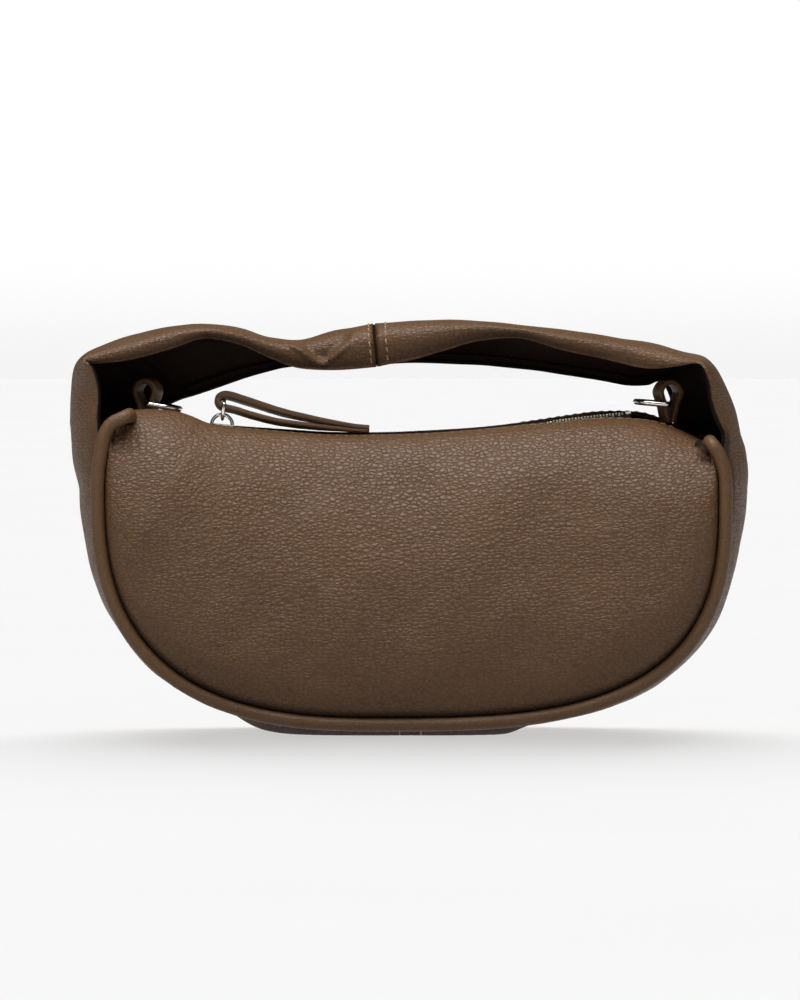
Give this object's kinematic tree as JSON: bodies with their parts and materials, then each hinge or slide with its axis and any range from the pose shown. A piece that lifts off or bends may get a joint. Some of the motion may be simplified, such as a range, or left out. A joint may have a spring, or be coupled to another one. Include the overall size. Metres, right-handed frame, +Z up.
{
  "type": "half moon handle bag",
  "caption": "Small half-moon leather bag with domed panels, corded piping, a sagging zipped mouth, a soft top handle and two strap rings.",
  "frame": {"origin": "on the ground, under the middle of the bag's box", "axes": "+X to the right of the front panel, +Y from the front to the back, +Z up"},
  "size_m": [0.2608, 0.0868, 0.1595],
  "materials": {
    "leather": "pebbled, soft sheen",
    "piping_leather": "stretched smooth over a cord",
    "inner_leather": "smooth, thin",
    "lining": "plain woven",
    "filler_cord": "twisted cotton",
    "zip_tape": "herringbone tape",
    "zip_metal": "polished nickel",
    "ring_metal": "polished nickel"
  },
  "bodies": {
    "bag": {"front_panel": "leather", "back_panel": "leather", "gusset_left": "leather", "gusset_right": "leather", "shoulder_left": "leather", "shoulder_right": "leather", "base_joint_patch": "inner_leather", "piping_front": "piping_leather", "piping_back": "piping_leather", "filler_front": "filler_cord", "filler_back": "filler_cord", "lining_front": "lining", "lining_back": "lining", "lining_gusset": "lining", "zip_tape_front": "zip_tape", "zip_tape_back": "zip_tape", "zip_teeth_front": "zip_metal", "zip_teeth_back": "zip_metal", "zip_top_stops": "zip_metal", "zip_bottom_stop": "zip_metal", "zip_end_left": "leather", "zip_end_right": "leather", "ring_loop_left": "leather", "ring_loop_right": "leather"},
    "handle": {"handle_left": "leather", "handle_right": "leather", "handle_facing_left": "inner_leather", "handle_facing_right": "inner_leather", "handle_joint_patch": "inner_leather"},
    "slider": {"zip_slider": "zip_metal"},
    "link": {"pull_link": "zip_metal"},
    "puller": {"leather_puller": "leather"},
    "ring_left": {"strap_ring_left": "ring_metal"},
    "ring_right": {"strap_ring_right": "ring_metal"}
  },
  "joints": [
    {"name": "handle_tip", "type": "hinge", "parent": "bag", "child": "handle", "pos_m": [0, 0, 0.12], "axis": [1, 0, 0], "range_deg": [-15, 15], "deforming": ["shoulder_left", "shoulder_right"]},
    {"name": "zip_slide", "type": "hinge", "parent": "bag", "child": "slider", "pos_m": [-0.0155, 0, 0.6687], "axis": [0, -1, 0], "range_deg": [0, 10.2], "deforming": ["zip_teeth_front", "zip_teeth_back"]},
    {"name": "link_swing", "type": "hinge", "parent": "slider", "child": "link", "pos_m": [-0.07137, 0, 0.12278], "axis": [0.9948, 0, -0.1018], "range_deg": [-11, 11]},
    {"name": "puller_swing", "type": "hinge", "parent": "link", "child": "puller", "pos_m": [-0.07084, 0, 0.12795], "axis": [0, -1, 0], "range_deg": [0, 16]},
    {"name": "ring_left_swing", "type": "hinge", "parent": "bag", "child": "ring_left", "pos_m": [-0.1004, 0, 0.12708], "axis": [0, -1, 0], "range_deg": [0, 95]},
    {"name": "ring_right_swing", "type": "hinge", "parent": "bag", "child": "ring_right", "pos_m": [0.1004, 0, 0.12672], "axis": [0, 1, 0], "range_deg": [0, 95]}
  ]
}
